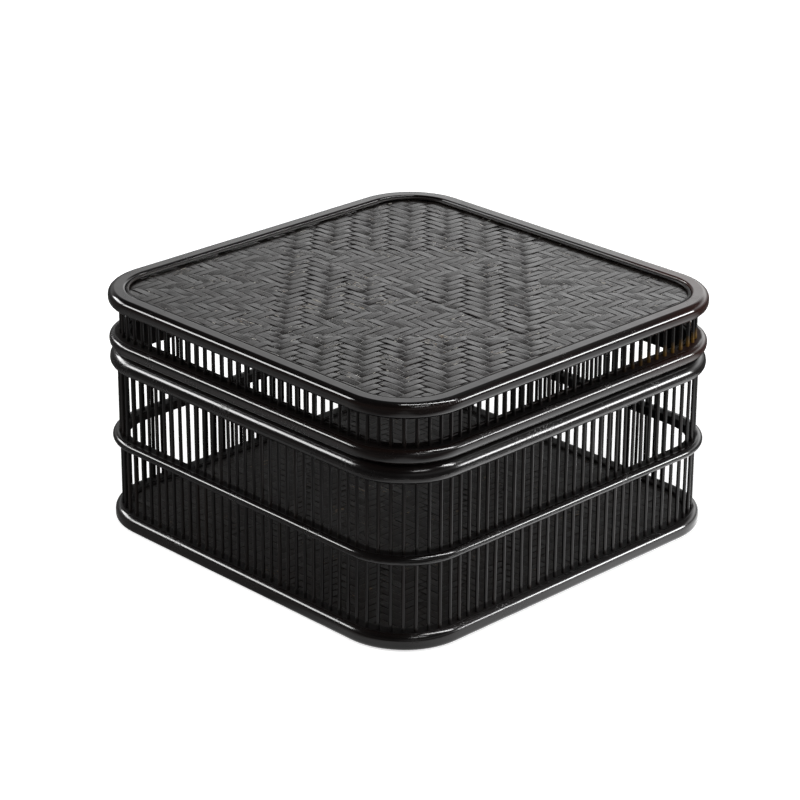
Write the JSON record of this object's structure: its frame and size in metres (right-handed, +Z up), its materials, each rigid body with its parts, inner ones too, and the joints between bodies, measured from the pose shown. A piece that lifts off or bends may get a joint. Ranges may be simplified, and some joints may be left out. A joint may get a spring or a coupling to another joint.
{
  "type": "lidded bamboo storage box",
  "caption": "Square bamboo storage box with rounded corners, walls of thin round sticks between bent hoops, woven floor and a lift-off woven lid.",
  "frame": {"origin": "centre of the footprint, on the surface that the bottom ring stands on", "axes": "+Z up, the way the lid lifts; X and Y square to the four walls"},
  "size_m": [0.26, 0.26, 0.14],
  "materials": {
    "hoop_lacquer": "near-black brown gloss lacquer on bent bamboo",
    "stick_lacquer": "near-black brown lacquer on round bamboo sticks, amber where it has run thin",
    "woven_bamboo": "dark brown lacquered bamboo strips in a twill weave",
    "stained_board": "thin dark stained board behind the weave"
  },
  "bodies": {
    "box": {"box_bottom_ring": "hoop_lacquer", "box_floor_board": "stained_board", "box_floor_weave": "woven_bamboo", "box_hoop_and_sticks": "stick_lacquer", "box_top_ring": "hoop_lacquer", "box_inner_lip": "hoop_lacquer"},
    "lid": {"lid_lower_ring_and_sticks": "stick_lacquer", "lid_top_ring": "hoop_lacquer", "lid_board": "stained_board", "lid_weave": "woven_bamboo", "lid_bead": "hoop_lacquer"}
  },
  "joints": [
    {"name": "lid_lift", "type": "slide", "parent": "box", "child": "lid", "axis": [0, 0, 1], "range_m": [0, 0.08]}
  ]
}
